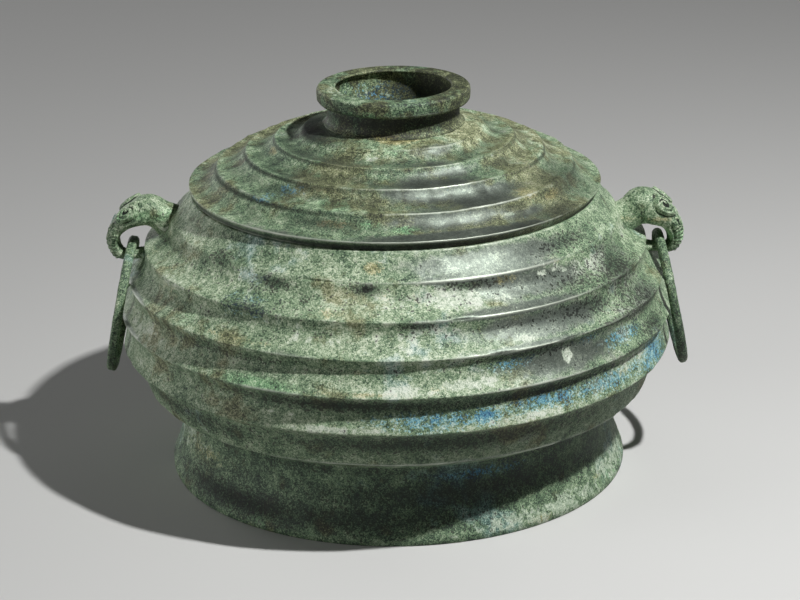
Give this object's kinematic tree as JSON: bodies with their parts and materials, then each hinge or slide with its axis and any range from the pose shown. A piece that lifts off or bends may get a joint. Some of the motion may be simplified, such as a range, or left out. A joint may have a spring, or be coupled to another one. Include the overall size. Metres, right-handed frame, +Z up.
{
  "type": "covered ritual food vessel",
  "caption": "Squat bulging bronze bowl with roof-tile fluting on a flared ring foot, a lift-off domed lid with a ring crown, and beast-head loops carrying free rings on the shoulder.",
  "frame": {"origin": "on the ground, under the middle of the ring foot", "axes": "+Z up along the vessel's axis, +X towards the right-hand loop and ring, -Y towards the front"},
  "size_m": [0.2618, 0.2466, 0.1732],
  "materials": {
    "bowl_bronze": "cast, matte green patina",
    "foot_bronze": "cast, matte green patina",
    "lid_bronze": "cast, green patina with bare grey metal",
    "crown_bronze": "cast, mottled green patina",
    "handle_bronze": "cast, pale green patina",
    "ring_bronze": "cast, pale green patina"
  },
  "bodies": {
    "vessel": {"vessel_bowl": "bowl_bronze", "ring_foot": "foot_bronze", "handle_right": "handle_bronze", "handle_left": "handle_bronze"},
    "lid": {"lid_dome": "lid_bronze", "lid_crown": "crown_bronze"},
    "right_ring": {"ring_right": "ring_bronze"},
    "left_ring": {"ring_left": "ring_bronze"}
  },
  "joints": [
    {"name": "lid_lift", "type": "slide", "parent": "vessel", "child": "lid", "axis": [0, 0, 1], "range_m": [0, 0.1]},
    {"name": "right_ring_swing", "type": "hinge", "parent": "vessel", "child": "right_ring", "pos_m": [0.1175, 0, 0.1016], "axis": [0, -1, 0], "range_deg": [0, 165]},
    {"name": "left_ring_swing", "type": "hinge", "parent": "vessel", "child": "left_ring", "pos_m": [-0.1175, 0, 0.1016], "axis": [0, 1, 0], "range_deg": [0, 165]}
  ]
}
